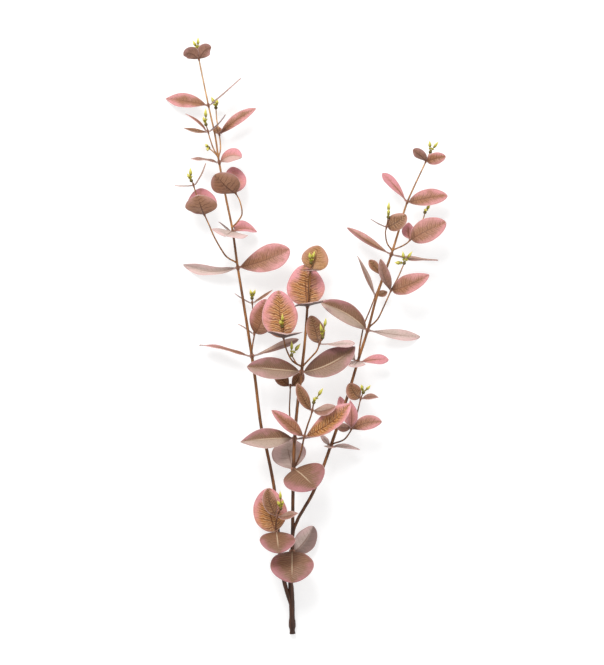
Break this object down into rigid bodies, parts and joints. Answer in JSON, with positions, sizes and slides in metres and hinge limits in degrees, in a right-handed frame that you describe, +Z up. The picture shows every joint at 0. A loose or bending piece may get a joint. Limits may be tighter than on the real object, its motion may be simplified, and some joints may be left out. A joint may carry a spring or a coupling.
{
  "type": "eucalyptus gum nut sprig",
  "caption": "Cut eucalyptus sprig lying down: three leafy stems from one foot, paired pink and brown leaves, and small pointed yellow-green gum nut buds on side twigs.",
  "frame": {"origin": "middle of the sprig's box, on the surface that it lies on", "axes": "+Y runs up the sprig from its cut end, +X is its right as the picture shows it, +Z is up from the surface, towards the picture's camera"},
  "size_m": [0.339, 0.7185, 0.079],
  "materials": {
    "stem": "satin",
    "leaf": "satin",
    "gum_nut": "satin"
  },
  "bodies": {
    "root": {"centre_gum_nuts_1": "gum_nut", "centre_gum_nuts_2": "gum_nut", "centre_gum_nuts_3": "gum_nut", "centre_gum_nuts_4": "gum_nut", "centre_gum_nuts_5": "gum_nut", "centre_gum_nuts_6": "gum_nut", "centre_leaves_01": "leaf", "centre_leaves_02": "leaf", "centre_leaves_03": "leaf", "centre_leaves_04": "leaf", "centre_leaves_05": "leaf", "centre_leaves_06": "leaf", "centre_leaves_07": "leaf", "centre_leaves_08": "leaf", "centre_leaves_09": "leaf", "centre_leaves_10": "leaf", "centre_leaves_11": "leaf", "centre_leaves_12": "leaf", "centre_leaves_13": "leaf", "left_branch": "stem", "left_gum_nuts_1": "gum_nut", "left_gum_nuts_2": "gum_nut", "left_gum_nuts_3": "gum_nut", "left_gum_nuts_4": "gum_nut", "left_gum_nuts_5": "gum_nut", "left_gum_nuts_6": "gum_nut", "left_leaves_01": "leaf", "left_leaves_02": "leaf", "left_leaves_03": "leaf", "left_leaves_04": "leaf", "left_leaves_05": "leaf", "left_leaves_06": "leaf", "left_leaves_07": "leaf", "left_leaves_08": "leaf", "left_leaves_09": "leaf", "left_leaves_10": "leaf", "left_leaves_11": "leaf", "left_leaves_12": "leaf", "left_leaves_13": "leaf", "main_stem": "stem", "right_branch": "stem", "right_gum_nuts_1": "gum_nut", "right_gum_nuts_2": "gum_nut", "right_gum_nuts_3": "gum_nut", "right_gum_nuts_4": "gum_nut", "right_gum_nuts_5": "gum_nut", "right_leaves_01": "leaf", "right_leaves_02": "leaf", "right_leaves_03": "leaf", "right_leaves_04": "leaf", "right_leaves_05": "leaf", "right_leaves_06": "leaf", "right_leaves_07": "leaf", "right_leaves_08": "leaf", "right_leaves_09": "leaf", "right_leaves_10": "leaf", "right_leaves_11": "leaf", "right_leaves_12": "leaf", "right_leaves_13": "leaf"}
  },
  "joints": []
}
